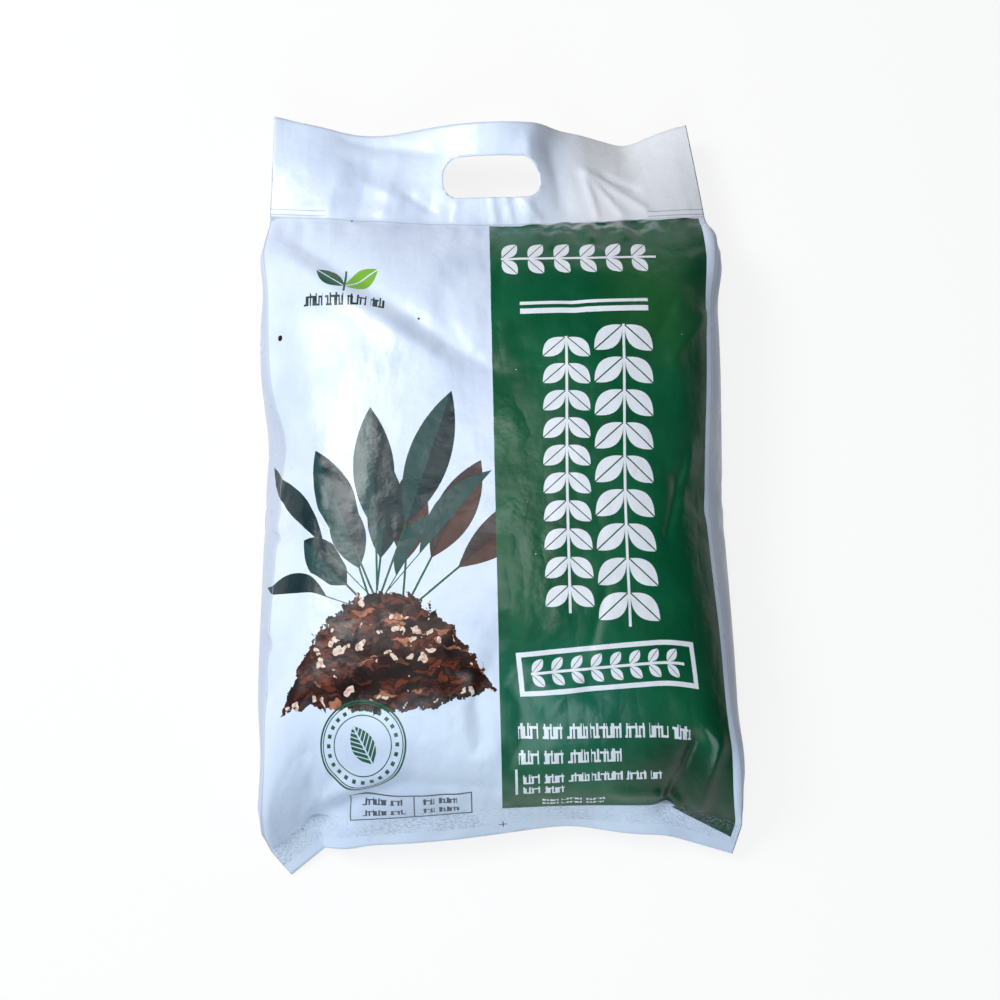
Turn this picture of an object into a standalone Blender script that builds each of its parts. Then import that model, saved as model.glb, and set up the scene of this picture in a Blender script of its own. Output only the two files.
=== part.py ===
"""A filled and sealed side-gusset film bag of compost, lying on its back.

The bag is a tube of polyethylene film, folded flat with a gusset tucked into
each side, welded straight across near both ends and filled before the second
weld. Above the top weld the film stays flat as a header with a carrying slot.
Below the bottom weld a short flap is left, and its corners turn down.

Frame: +X to the right of the print, +Y towards the header, +Z up through the
fill. The origin is on the floor under the middle of the bag's outline.
"""
import math

import bmesh
import bpy

MM = 0.001

# Flat film, before filling
PANEL_WIDTH = 318 * MM
GUSSET_DEPTH = 28 * MM
FLAP_LENGTH = 8 * MM
WELD_WIDTH = 16 * MM
BODY_LENGTH = 406 * MM
HEADER_LENGTH = 70 * MM

# Film thickness, drawn stouter than the real 0.12 mm so that the header is a solid
PLY = 0.45 * MM
GUSSET_GAP = 0.5 * MM
FOLD_SPREAD = 0.3

# Filled body: heights of the crown, how much of the film's girth each part of it pulls tight,
# and how it lies. Its width follows from these.
HEAD_HEIGHT = 93 * MM
FOOT_HEIGHT = 105 * MM
SHOULDER_TAUTNESS = 0.950
SHOULDER_PLACE = 0.80
WAIST_TAUTNESS = 0.948
WAIST_PLACE = 0.55
HIP_TAUTNESS = 0.966
HIP_PLACE = 0.15
BELT_SHARE = 0.40
FLOOR_PRESS = 2.0 * MM
CROWN_POWER = 2.5
BED_POWER = 4.5
END_ROUNDING = 98 * MM
CREASE_FIN = 1.0 * MM

# Top weld: how it sags between its corners
TOP_WELD_PLACE = 187 * MM
TOP_WELD_SAG = 11 * MM
TOP_WELD_HEIGHT = 44 * MM
TOP_CORNER_DROP = 13 * MM
TOP_WELD_SHIFT = -8.7 * MM
WELD_SHRINK = 0.942

# Header: rise of its top edge above the weld, from the left corner to the right
HEADER_RISE = ((-1.0, 8 * MM), (-0.85, -4 * MM), (-0.5, -15 * MM), (0.0, 13 * MM),
               (0.28, 8 * MM), (0.62, -28 * MM), (0.84, -17 * MM), (1.0, -2 * MM))
HEADER_CURL = 1.4
HEADER_NARROWING = 0.956
HEADER_DRIFT = -4 * MM

# Carrying slot
SLOT_WIDTH = 65 * MM
SLOT_HEIGHT = 25.5 * MM
SLOT_CORNER = 11.5 * MM
SLOT_BOW = 2.5 * MM
SLOT_CENTRE_ACROSS = 4.8 * MM
SLOT_ABOVE_WELD = 32.5 * MM

# Bottom weld: it leans to the left, and both corners turn down towards the floor
BOTTOM_WELD_PLACE = -197 * MM
BOTTOM_WAVE = 2.0 * MM
LEFT_LEAN = math.radians(3)
LEAN_REACH = 40 * MM
LEFT_EAR_TURN = math.radians(35)
LEFT_EAR_START = 110 * MM
LEFT_EAR_BEND = 23 * MM
RIGHT_EAR_TURN = math.radians(14)
RIGHT_EAR_START = 98 * MM
RIGHT_EAR_BEND = 26 * MM
WELD_RISE = ((-1.0, 13 * MM), (-0.7, 25 * MM), (-0.5, 36 * MM), (0.55, 36 * MM), (1.0, 24 * MM))
EDGE_RISE = ((-1.0, 2.5 * MM), (-0.75, 10 * MM), (-0.6, 20 * MM), (-0.2, 24 * MM), (0.05, 21 * MM),
             (0.3, 18.5 * MM), (0.6, 22 * MM), (1.0, 11 * MM))

# Gathers where the film is drawn in to each weld
GATHER_WAVELENGTH = 34 * MM
SECOND_WAVELENGTH = 47 * MM
GATHER_DEPTH = 1.7 * MM
GATHER_REACH = 38 * MM
GATHER_FADE_START = 0.75
GATHER_FADE_END = 0.95

# Long creases of the front: from, to and strength. Places are shares of the half width and of
# the body's length, and a valley has a negative strength.
CREASE_WIDTH = 10 * MM
CREASE_RISE = 4.5 * MM
FRONT_CREASES = (
    ((-0.90, 0.96), (0.03, 0.70), -0.8),
    ((-0.92, 0.91), (-0.19, 0.71), 0.5),
    ((0.93, 0.92), (0.80, 0.80), 0.7),
    ((0.88, 0.86), (0.70, 0.74), -0.6),
    ((0.96, 0.80), (0.77, 0.71), 0.7),
    ((0.84, 0.56), (0.73, 0.42), -0.8),
    ((0.47, 0.36), (0.36, 0.24), -0.5),
    ((-0.98, 0.47), (-0.84, 0.46), -1.0),
    ((-0.98, 0.31), (-0.84, 0.29), -1.0),
    ((-0.80, 0.02), (-0.39, 0.06), -0.9),
    ((-0.39, 0.06), (0.02, 0.04), -0.6),
    ((-0.78, 0.05), (-0.38, 0.09), 0.6),
    ((0.78, 0.10), (0.68, 0.02), -0.9),
)

# Pockets of the gussets, pushed out or in at the sides: side, distance down from the top weld
# or up from the bottom one, reach along the bag, depth
SHOULDER_POCKETS = ((1, 34 * MM, 24 * MM, 9 * MM), (-1, 30 * MM, 24 * MM, 6 * MM),
                    (-1, 158 * MM, 26 * MM, -8 * MM))
FOOT_POCKETS = ((1, 34 * MM, 30 * MM, 6 * MM), (-1, 22 * MM, 22 * MM, 3 * MM))

# Printed field of the front panel, from beside its middle to a margin at the right crease
PRINT_LEFT = 1.5 * MM
PRINT_MARGIN = 6 * MM

# Facets
PLAIN_COLUMNS = 17
PRINT_COLUMNS = 16
MARGIN_COLUMNS = 1
GUSSET_COLUMNS = 3
FLAP_ROWS = 1
WELD_ROWS = 2
BODY_ROWS = 41
HEADER_ROWS = 8
END_ROW_PACKING = 0.5
SECTION_SAMPLES = 720
WIDTH_TRIALS = 22
RUN_STEPS = 150
SLOT_CORNER_SEGMENTS = 6
SLOT_BOW_SEGMENTS = 8
SLOT_CUT_DEPTH = 90 * MM
MERGE_DISTANCE = 0.001 * MM
SHARP_ANGLE = math.radians(60)

WHITE_FILM = ((0.80, 0.83, 0.88), 0.30)
GREEN_PRINT = ((0.012, 0.085, 0.040), 0.32)

HALF_WIDTH = PANEL_WIDTH / 2
PRINT_RIGHT = HALF_WIDTH - PRINT_MARGIN
HALF_GIRTH = PANEL_WIDTH + 2 * GUSSET_DEPTH
WELD_EDGE = FLAP_LENGTH + WELD_WIDTH
TOP_WELD = WELD_EDGE + BODY_LENGTH


def eased(start, end, value):
    """0 before start, 1 after end, and a smooth step between them."""
    share = min(1.0, max(0.0, (value - start) / (end - start)))
    return share * share * (3 - 2 * share)


def mixed(first, second, share):
    """A point part of the way from the first to the second."""
    return tuple(a + (b - a) * share for a, b in zip(first, second))


def curve_through(stops, at):
    """A smooth curve's value at a place, through stops of (place, value)."""
    places = [place for place, _ in stops]
    values = [value for _, value in stops]
    if at <= places[0]:
        return values[0]
    if at >= places[-1]:
        return values[-1]
    k = max(i for i in range(len(places) - 1) if places[i] <= at)
    before = max(k - 1, 0)
    after = min(k + 2, len(places) - 1)
    span = places[k + 1] - places[k]
    share = (at - places[k]) / span
    slope_in = (values[k + 1] - values[before]) / (places[k + 1] - places[before])
    slope_out = (values[after] - values[k]) / (places[after] - places[k])
    keep = 2 * share ** 3 - 3 * share ** 2 + 1
    lead = share ** 3 - 2 * share ** 2 + share
    trail = share ** 3 - share ** 2
    return keep * values[k] + lead * span * slope_in + (1 - keep) * values[k + 1] + trail * span * slope_out


def top_weld(across):
    """Where a point of the flat film lies along the top weld."""
    share = across / HALF_WIDTH
    x = TOP_WELD_SHIFT + WELD_SHRINK * across
    y = TOP_WELD_PLACE + TOP_WELD_SAG * share ** 2
    z = TOP_WELD_HEIGHT - TOP_CORNER_DROP * share ** 4
    return x, y, z


def corner_turn(across):
    """How far the bottom weld has turned down at a point of the flat film."""
    left = LEFT_LEAN * eased(0, LEAN_REACH, -across)
    left += LEFT_EAR_TURN * eased(LEFT_EAR_START, LEFT_EAR_START + LEFT_EAR_BEND, -across)
    right = RIGHT_EAR_TURN * eased(RIGHT_EAR_START, RIGHT_EAR_START + RIGHT_EAR_BEND, across)
    return left - right


def bottom_weld_run():
    """The bottom weld's plan: stops of (across, x) and (across, y), laid out from its middle."""
    step = HALF_WIDTH / RUN_STEPS
    along = {0: (0.0, BOTTOM_WELD_PLACE)}
    for side in (-1, 1):
        x, y = along[0]
        for k in range(1, RUN_STEPS + 1):
            turn = corner_turn(side * (k - 0.5) * step)
            x += side * step * math.cos(turn)
            y += side * step * math.sin(turn)
            along[side * k] = (x, y)
    order = sorted(along)
    return [(k * step, along[k][0]) for k in order], [(k * step, along[k][1]) for k in order]


WELD_RUN_X, WELD_RUN_Y = bottom_weld_run()


def between_stops(stops, at):
    """Straight reading between close, evenly spaced stops."""
    first = stops[0][0]
    step = stops[1][0] - first
    place = min(max((at - first) / step, 0.0), len(stops) - 1.0)
    k = min(int(place), len(stops) - 2)
    return stops[k][1] + (stops[k + 1][1] - stops[k][1]) * (place - k)


def bottom_weld(across):
    """Where a point of the flat film lies along the bottom weld's inner line."""
    wave = BOTTOM_WAVE * math.sin(2 * math.pi * across / PANEL_WIDTH)
    x = between_stops(WELD_RUN_X, across)
    y = between_stops(WELD_RUN_Y, across) + wave
    return x, y, curve_through(WELD_RISE, across / HALF_WIDTH)


def below_weld(across, along):
    """The middle surface of the bottom weld and flap."""
    x, y, z = bottom_weld(across)
    turn = corner_turn(across)
    drop = WELD_EDGE - along
    edge = curve_through(EDGE_RISE, across / HALF_WIDTH)
    fall = (z - edge) * drop / WELD_EDGE
    reach = math.sqrt(max(drop ** 2 - fall ** 2, 0.0))
    return x + reach * math.sin(turn), y - reach * math.cos(turn), z - fall


def header(across, along):
    """The middle surface of the header, which waves between its corners."""
    x, y, z = top_weld(across)
    above = along - TOP_WELD
    share = above / HEADER_LENGTH
    rise = curve_through(HEADER_RISE, across / HALF_WIDTH) * share ** HEADER_CURL
    reach = math.sqrt(above ** 2 - rise ** 2) if above > 0 else 0.0
    narrowing = 1 + (HEADER_NARROWING - 1) * share
    middle = TOP_WELD_SHIFT + HEADER_DRIFT * share
    return middle + (x - TOP_WELD_SHIFT) * narrowing, y + reach, z + rise


def section_outline(half_width, height):
    """The filled bag's outline from the crown's middle round to the bed's middle.

    It is a list of (length so far, x, z), with the height at each point over the floor.
    """
    belt = height * BELT_SHARE
    outline = []
    length = 0.0
    for k in range(SECTION_SAMPLES + 1):
        angle = math.pi * k / SECTION_SAMPLES
        sine, cosine = abs(math.sin(angle)), math.cos(angle)
        if cosine > 0:
            x = half_width * sine ** (2 / CROWN_POWER)
            z = belt + (height - belt) * cosine ** (2 / CROWN_POWER)
        else:
            x = half_width * sine ** (2 / BED_POWER)
            z = max(0.0, belt - (belt + FLOOR_PRESS) * abs(cosine) ** (2 / BED_POWER))
        if outline:
            length += math.hypot(x - outline[-1][1], z - outline[-1][2])
        outline.append((length, x, z))
    return outline


def filled_section(place):
    """The outline at a place along the bag, as wide as the film's girth lets it be."""
    stops = ((0.0, HIP_TAUTNESS), (HIP_PLACE, HIP_TAUTNESS), (WAIST_PLACE, WAIST_TAUTNESS),
             (SHOULDER_PLACE, SHOULDER_TAUTNESS), (1.0, SHOULDER_TAUTNESS))
    girth = HALF_GIRTH * curve_through(stops, place)
    height = FOOT_HEIGHT + (HEAD_HEIGHT - FOOT_HEIGHT) * place
    low, high = height / 2, HALF_GIRTH
    for _ in range(WIDTH_TRIALS):
        middle = (low + high) / 2
        if section_outline(middle, height)[-1][0] < girth:
            low = middle
        else:
            high = middle
    return section_outline(low, height)


def on_section(outline, share):
    """The point of the outline at a share of its length, -1 to 1 from the crown's middle."""
    target = abs(share) * outline[-1][0]
    low, high = 0, len(outline) - 1
    while high - low > 1:
        middle = (low + high) // 2
        if outline[middle][0] <= target:
            low = middle
        else:
            high = middle
    span = outline[high][0] - outline[low][0]
    part = (target - outline[low][0]) / span if span > 0 else 0.0
    x = outline[low][1] + (outline[high][1] - outline[low][1]) * part
    z = outline[low][2] + (outline[high][2] - outline[low][2]) * part
    return math.copysign(x, share), z


def evenly(start, end, count):
    """A number of evenly spaced stops from start up to end, without the end."""
    return [start + (end - start) * k / count for k in range(count)]


def film_ring():
    """Stops round the tube of film: face, distance across the flat bag, girth from the front's middle."""
    front = evenly(-HALF_WIDTH, PRINT_LEFT, PLAIN_COLUMNS) + evenly(PRINT_LEFT, PRINT_RIGHT, PRINT_COLUMNS)
    front += evenly(PRINT_RIGHT, HALF_WIDTH, MARGIN_COLUMNS) + [HALF_WIDTH]
    tuck = [GUSSET_DEPTH * k / GUSSET_COLUMNS for k in range(GUSSET_COLUMNS + 1)]
    ring = [("front", across, across) for across in front]
    ring += [("right", HALF_WIDTH - depth, HALF_WIDTH + PLY + depth) for depth in tuck]
    ring += [("right_back", HALF_WIDTH - depth, HALF_WIDTH + 2 * GUSSET_DEPTH - depth - PLY)
             for depth in reversed(tuck[:-1])]
    ring += [("back", across, math.copysign(HALF_GIRTH, across) - across) for across in reversed(front)]
    ring += [("left_back", -HALF_WIDTH + depth, -HALF_WIDTH - 2 * GUSSET_DEPTH + depth + PLY) for depth in tuck]
    ring += [("left", -HALF_WIDTH + depth, -HALF_WIDTH - PLY - depth) for depth in reversed(tuck[:-1])]
    return ring


def ply_offset(face, across):
    """How far a face of the flat film lies from the bag's middle surface."""
    inner_fold = HALF_WIDTH - GUSSET_DEPTH
    tucked = max(0.0, (abs(across) - inner_fold) / GUSSET_DEPTH)
    if face in ("front", "back"):
        offset = PLY + (PLY + GUSSET_GAP / 2) * eased(-FOLD_SPREAD, 0.0, (abs(across) - inner_fold) / GUSSET_DEPTH)
    else:
        offset = GUSSET_GAP / 2 * tucked
    return offset if face in ("front", "right", "left") else -offset


def end_fullness(along):
    """0 at each weld and 1 where the bag is full, rising at about 45 degrees from the weld."""
    foot = eased(0.0, END_ROUNDING, along - WELD_EDGE)
    head = eased(0.0, END_ROUNDING, TOP_WELD - along)
    return math.sqrt(foot * head)


def gathers(across, along):
    """Small waves that run up from each weld."""
    foot = along - WELD_EDGE
    head = TOP_WELD - along
    fade_foot = foot / GATHER_REACH * math.exp(1 - foot / GATHER_REACH)
    fade_head = head / GATHER_REACH * math.exp(1 - head / GATHER_REACH)
    wave = math.cos(2 * math.pi * across / GATHER_WAVELENGTH)
    second = math.cos(2 * math.pi * across / SECOND_WAVELENGTH + 1.0)
    inside = 1 - eased(GATHER_FADE_START, GATHER_FADE_END, abs(across) / HALF_WIDTH)
    return GATHER_DEPTH * inside * (fade_foot * (wave + second) / 2 + fade_head * second * wave)


def crease_rise(across, along):
    """The rise of all the front's long creases at a point of the film."""
    rise = 0.0
    for start, end, strength in FRONT_CREASES:
        start_x, start_y = start[0] * HALF_WIDTH, WELD_EDGE + start[1] * BODY_LENGTH
        run_x = end[0] * HALF_WIDTH - start_x
        run_y = WELD_EDGE + end[1] * BODY_LENGTH - start_y
        length = math.hypot(run_x, run_y)
        ahead = ((across - start_x) * run_x + (along - start_y) * run_y) / length
        beside = ((across - start_x) * run_y - (along - start_y) * run_x) / length
        past = max(-ahead, ahead - length, 0.0)
        rise += strength * CREASE_RISE * math.exp(-(beside ** 2 + past ** 2) / CREASE_WIDTH ** 2)
    return rise


def pocket_push(girth, along):
    """How far the gussets' pockets push the film out at the sides."""
    push = 0.0
    pockets = [(side, TOP_WELD - down, reach, depth) for side, down, reach, depth in SHOULDER_POCKETS]
    pockets += [(side, WELD_EDGE + up, reach, depth) for side, up, reach, depth in FOOT_POCKETS]
    for side, centre, reach, depth in pockets:
        middle = side * (HALF_WIDTH + GUSSET_DEPTH / 2)
        far = ((girth - middle) ** 2 + (along - centre) ** 2) / reach ** 2
        push += side * depth * math.exp(-far)
    return push


def body(stop, along, outline):
    """The filled part of the bag, between the welds."""
    face, across, girth = stop
    place = (along - WELD_EDGE) / BODY_LENGTH
    flat = mixed(bottom_weld(across), top_weld(across), place)
    fullness = end_fullness(along)
    x, z = on_section(outline, girth / HALF_GIRTH)
    centre = TOP_WELD_SHIFT * place
    flat_z = flat[2] + ply_offset(face, across)
    x = flat[0] + (x + centre - flat[0]) * fullness + pocket_push(girth, along) * fullness
    z = flat_z + (z - flat_z) * fullness
    y = flat[1]
    if face == "front":
        z += gathers(across, along) + crease_rise(across, along) * fullness
        edge = eased(HALF_WIDTH - 2 * CREASE_FIN, HALF_WIDTH, abs(across))
        x += math.copysign(CREASE_FIN, across) * edge * fullness
        z += CREASE_FIN * edge * fullness
    return x, y, z


def film_point(stop, along, outline):
    """The place of one point of the film."""
    face, across, _ = stop
    if along < WELD_EDGE:
        x, y, z = below_weld(across, along)
        return x, y, z + ply_offset(face, across)
    if along > TOP_WELD:
        x, y, z = header(across, along)
        return x, y, z + ply_offset(face, across)
    return body(stop, along, outline)


def film_rows():
    """Distances up the flat film at which it has a row of points, closer together near the welds."""
    rows = [FLAP_LENGTH * k / FLAP_ROWS for k in range(FLAP_ROWS)]
    rows += [FLAP_LENGTH + WELD_WIDTH * k / WELD_ROWS for k in range(WELD_ROWS)]
    for k in range(BODY_ROWS):
        share = k / BODY_ROWS
        share -= END_ROW_PACKING * math.sin(2 * math.pi * share) / (2 * math.pi)
        rows.append(WELD_EDGE + BODY_LENGTH * share)
    rows += [TOP_WELD + HEADER_LENGTH * k / HEADER_ROWS for k in range(HEADER_ROWS + 1)]
    return rows


def film_material(name, finish):
    """A plain plastic finish."""
    colour, roughness = finish
    material = bpy.data.materials.new(name)
    material.use_nodes = True
    shader = material.node_tree.nodes["Principled BSDF"]
    shader.inputs["Base Color"].default_value = (*colour, 1.0)
    shader.inputs["Roughness"].default_value = roughness
    shader.inputs["Metallic"].default_value = 0.0
    return material


def is_printed(corners, low, high):
    """Whether a patch of film, between two stops and two rows, lies in the printed field."""
    across = (corners[0][1] + corners[1][1]) / 2
    along = (low + high) / 2
    return corners[0][0] == "front" and PRINT_LEFT < across < PRINT_RIGHT and WELD_EDGE < along < TOP_WELD


def make_bag(collection):
    """A sheet of film, rolled into the tube of the bag and closed at both ends.

    Gives the bag and how far it was moved to stand over the origin.
    """
    ring = film_ring()
    rows = film_rows()
    outlines = [filled_section(min(1.0, max(0.0, (along - WELD_EDGE) / BODY_LENGTH))) for along in rows]
    columns = len(ring)
    mesh = bpy.data.meshes.new("compost_bag")
    mesh.materials.append(film_material("white_film", WHITE_FILM))
    mesh.materials.append(film_material("green_print", GREEN_PRINT))
    bm = bmesh.new()
    bmesh.ops.create_grid(bm, x_segments=columns, y_segments=len(rows) - 1, size=1.0)
    for face in bm.faces:
        middle = face.calc_center_median()
        column = int((middle.x + 1) / 2 * columns)
        row = int((middle.y + 1) / 2 * (len(rows) - 1))
        corners = ring[column], ring[(column + 1) % columns]
        face.material_index = int(is_printed(corners, rows[row], rows[row + 1]))
    for vertex in bm.verts:
        column = round((vertex.co.x + 1) / 2 * columns) % columns
        row = round((vertex.co.y + 1) / 2 * (len(rows) - 1))
        vertex.co = film_point(ring[column], rows[row], outlines[row])
    bmesh.ops.remove_doubles(bm, verts=bm.verts, dist=MERGE_DISTANCE)
    open_edges = [edge for edge in bm.edges if edge.is_boundary]
    bmesh.ops.holes_fill(bm, edges=open_edges, sides=0)
    bmesh.ops.recalc_face_normals(bm, faces=bm.faces)
    shift = shift_to_origin(bm)
    bm.to_mesh(mesh)
    bm.free()
    bag = bpy.data.objects.new("compost_bag", mesh)
    collection.objects.link(bag)
    return bag, shift


def shift_to_origin(bm):
    """Put the outline's middle over the origin and the lowest point on the floor, and give the move."""
    xs = [vertex.co.x for vertex in bm.verts]
    ys = [vertex.co.y for vertex in bm.verts]
    zs = [vertex.co.z for vertex in bm.verts]
    shift = (-(min(xs) + max(xs)) / 2, -(min(ys) + max(ys)) / 2, -min(zs))
    bmesh.ops.translate(bm, verts=bm.verts, vec=shift)
    return shift


def slot_cutter(collection, shift):
    """A bar with rounded corners and a slightly bowed top side, through the header."""
    centre = header(SLOT_CENTRE_ACROSS, TOP_WELD + SLOT_ABOVE_WELD)
    mesh = bpy.data.meshes.new("slot_cutter")
    bm = bmesh.new()
    bmesh.ops.create_cube(bm, size=1.0)
    bmesh.ops.scale(bm, vec=(SLOT_WIDTH, SLOT_HEIGHT, SLOT_CUT_DEPTH), verts=bm.verts)
    upright = [edge for edge in bm.edges if abs(edge.verts[0].co.z - edge.verts[1].co.z) > SLOT_HEIGHT]
    bmesh.ops.bevel(bm, geom=upright, affect="EDGES", offset=SLOT_CORNER, segments=SLOT_CORNER_SEGMENTS,
                    profile=0.5, material=-1)
    flat_top = [edge for edge in bm.edges
                if min(v.co.y for v in edge.verts) > SLOT_HEIGHT / 2 - SLOT_BOW / 4
                and abs(edge.verts[0].co.x - edge.verts[1].co.x) > SLOT_CORNER]
    bmesh.ops.subdivide_edges(bm, edges=flat_top, cuts=SLOT_BOW_SEGMENTS - 1)
    for vertex in bm.verts:
        if vertex.co.y > 0:
            bow = 1 - (2 * vertex.co.x / SLOT_WIDTH) ** 2
            vertex.co.y += SLOT_BOW * bow
    place = [centre[k] + shift[k] for k in range(3)]
    bmesh.ops.translate(bm, verts=bm.verts, vec=place)
    bmesh.ops.recalc_face_normals(bm, faces=bm.faces)
    bm.to_mesh(mesh)
    bm.free()
    cutter = bpy.data.objects.new("slot_cutter", mesh)
    cutter.hide_render = True
    cutter.display_type = "WIRE"
    collection.objects.link(cutter)
    return cutter


def main():
    """Clear the scene and build the bag."""
    for item in list(bpy.data.objects):
        bpy.data.objects.remove(item, do_unlink=True)
    parts = bpy.data.collections.new("compost_bag")
    cutters = bpy.data.collections.new("cutters")
    bpy.context.scene.collection.children.link(parts)
    bpy.context.scene.collection.children.link(cutters)
    bag, shift = make_bag(parts)
    cut = bag.modifiers.new("carrying_slot", "BOOLEAN")
    cut.object = slot_cutter(cutters, shift)
    cut.operation = "DIFFERENCE"
    cut.solver = "EXACT"
    bag.data.shade_smooth()
    bag.data.set_sharp_from_angle(angle=SHARP_ANGLE)


main()
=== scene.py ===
# %% [markdown]
# # A filled bag of compost
# The object is a side-gusset bag of printed polyethylene film, filled with loose compost and
# lying on its back. Its looks come from three things: the soft folds of slack film over a
# loose fill, the satin shine of the film, and the print. The bag is made in that order here.

# %% Load the solid model that the looks are fitted to
import math

import bmesh
import bpy
import numpy as np
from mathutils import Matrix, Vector


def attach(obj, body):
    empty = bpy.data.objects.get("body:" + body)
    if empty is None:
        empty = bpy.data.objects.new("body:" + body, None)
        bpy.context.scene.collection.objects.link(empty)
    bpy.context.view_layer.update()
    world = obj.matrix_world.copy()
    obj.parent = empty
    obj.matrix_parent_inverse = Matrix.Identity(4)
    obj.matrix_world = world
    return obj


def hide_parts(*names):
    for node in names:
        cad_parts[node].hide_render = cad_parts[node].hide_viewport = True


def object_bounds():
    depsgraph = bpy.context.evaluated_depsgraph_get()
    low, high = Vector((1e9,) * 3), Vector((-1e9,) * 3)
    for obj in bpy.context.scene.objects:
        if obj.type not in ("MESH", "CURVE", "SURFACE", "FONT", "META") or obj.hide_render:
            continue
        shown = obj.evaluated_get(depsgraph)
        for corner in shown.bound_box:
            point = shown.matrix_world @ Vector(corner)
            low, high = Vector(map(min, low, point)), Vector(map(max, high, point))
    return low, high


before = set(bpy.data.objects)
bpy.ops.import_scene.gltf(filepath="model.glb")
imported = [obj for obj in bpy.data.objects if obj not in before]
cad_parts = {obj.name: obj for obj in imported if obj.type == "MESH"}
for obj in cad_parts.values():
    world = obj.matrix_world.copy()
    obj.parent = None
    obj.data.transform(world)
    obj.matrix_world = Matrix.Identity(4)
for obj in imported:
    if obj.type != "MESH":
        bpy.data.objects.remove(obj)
cad_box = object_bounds()
MM = 0.001
print("solid model, mm:", [round(side / MM, 1) for side in cad_box[1] - cad_box[0]])

# %% [markdown]
# ## The flat film
# A bag like this starts as a flat tube of film with a gusset tucked into each side. Every
# point of the film has a place in that flat tube: how far round it lies, and how far up. These
# two lengths stay true while the bag is filled, so they serve three times: as the rest shape
# of the cloth, as the places of the folds, and as the UV map that the print is drawn on.

# %% Sizes of the flat film
PANEL_WIDTH = 318 * MM
GUSSET_DEPTH = 28 * MM
FLAP_LENGTH = 8 * MM
WELD_WIDTH = 16 * MM
BODY_LENGTH = 406 * MM
HEADER_LENGTH = 70 * MM
HALF_WIDTH = PANEL_WIDTH / 2
HALF_GIRTH = PANEL_WIDTH + 2 * GUSSET_DEPTH
WELD_EDGE = FLAP_LENGTH + WELD_WIDTH
TOP_WELD = WELD_EDGE + BODY_LENGTH
TOP_EDGE = TOP_WELD + HEADER_LENGTH
print("flat film, mm:", round(2 * HALF_GIRTH / MM), "round by", round(TOP_EDGE / MM), "long")

# %% Smooth steps and curves
def eased(start, end, value):
    """0 before start, 1 after end, and a smooth step between them."""
    share = min(1.0, max(0.0, (value - start) / (end - start)))
    return share * share * (3 - 2 * share)


def curve_through(stops, at):
    """A smooth curve's value at a place, through stops of (place, value)."""
    places = [place for place, _ in stops]
    values = [value for _, value in stops]
    if at <= places[0]:
        return values[0]
    if at >= places[-1]:
        return values[-1]
    k = max(i for i in range(len(places) - 1) if places[i] <= at)
    before = max(k - 1, 0)
    after = min(k + 2, len(places) - 1)
    span = places[k + 1] - places[k]
    share = (at - places[k]) / span
    slope_in = (values[k + 1] - values[before]) / (places[k + 1] - places[before])
    slope_out = (values[after] - values[k]) / (places[after] - places[k])
    keep = 2 * share ** 3 - 3 * share ** 2 + 1
    lead = share ** 3 - 2 * share ** 2 + share
    trail = share ** 3 - share ** 2
    level = keep * values[k] + lead * span * slope_in + (1 - keep) * values[k + 1]
    return level + trail * span * slope_out


# %% [markdown]
# ## The welds and the header
# The two welds hold the film flat, so their lines set the form of everything between them.
# The bottom weld turns down at its corners, where the tucked gussets make it four plies
# thick. Above the top weld the header waves, because the slack film pulls it in.

# %% Lines of the top weld and the header
TOP_WELD_PLACE = 187 * MM
TOP_WELD_SAG = 11 * MM
TOP_WELD_HEIGHT = 44 * MM
TOP_CORNER_DROP = 13 * MM
TOP_WELD_SHIFT = -8.7 * MM
WELD_SHRINK = 0.942
HEADER_RISE = ((-1.0, 8 * MM), (-0.85, -4 * MM), (-0.5, -15 * MM), (0.0, 13 * MM),
               (0.24, 10 * MM), (0.36, -6 * MM), (0.46, -13 * MM), (0.62, -24 * MM),
               (0.70, -27 * MM), (0.80, -21 * MM), (0.90, -13 * MM), (1.0, -6 * MM))
HEADER_NARROWING = 0.956
HEADER_DRIFT = -4 * MM


def top_weld(across):
    """Where a point of the flat film lies along the top weld."""
    share = across / HALF_WIDTH
    x = TOP_WELD_SHIFT + WELD_SHRINK * across
    y = TOP_WELD_PLACE + TOP_WELD_SAG * share ** 2
    z = TOP_WELD_HEIGHT - TOP_CORNER_DROP * share ** 4
    return x, y, z


def header(across, along):
    """The middle surface of the header."""
    x, y, z = top_weld(across)
    above = along - TOP_WELD
    share = above / HEADER_LENGTH
    rise = curve_through(HEADER_RISE, across / HALF_WIDTH) * share ** 1.4
    reach = math.sqrt(above ** 2 - rise ** 2) if above > 0 else 0.0
    narrowing = 1 + (HEADER_NARROWING - 1) * share
    middle = TOP_WELD_SHIFT + HEADER_DRIFT * share
    return middle + (x - TOP_WELD_SHIFT) * narrowing, y + reach, z + rise


# %% Lines of the bottom weld and the flap below it
BOTTOM_WELD_PLACE = -197 * MM
BOTTOM_WAVE = 2.0 * MM
LEFT_LEAN = math.radians(3)
LEAN_REACH = 40 * MM
LEFT_EAR_TURN = math.radians(35)
LEFT_EAR_START = 117 * MM
LEFT_EAR_BEND = 8 * MM
RIGHT_EAR_TURN = math.radians(14)
RIGHT_EAR_START = 98 * MM
RIGHT_EAR_BEND = 26 * MM
WELD_RISE = ((-1.0, 13 * MM), (-0.7, 25 * MM), (-0.5, 36 * MM), (0.55, 36 * MM), (1.0, 24 * MM))
EDGE_RISE = ((-1.0, 2.5 * MM), (-0.75, 10 * MM), (-0.6, 20 * MM), (-0.2, 24 * MM), (0.05, 21 * MM),
             (0.3, 18.5 * MM), (0.6, 22 * MM), (1.0, 11 * MM))
RUN_STEPS = 150


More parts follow.
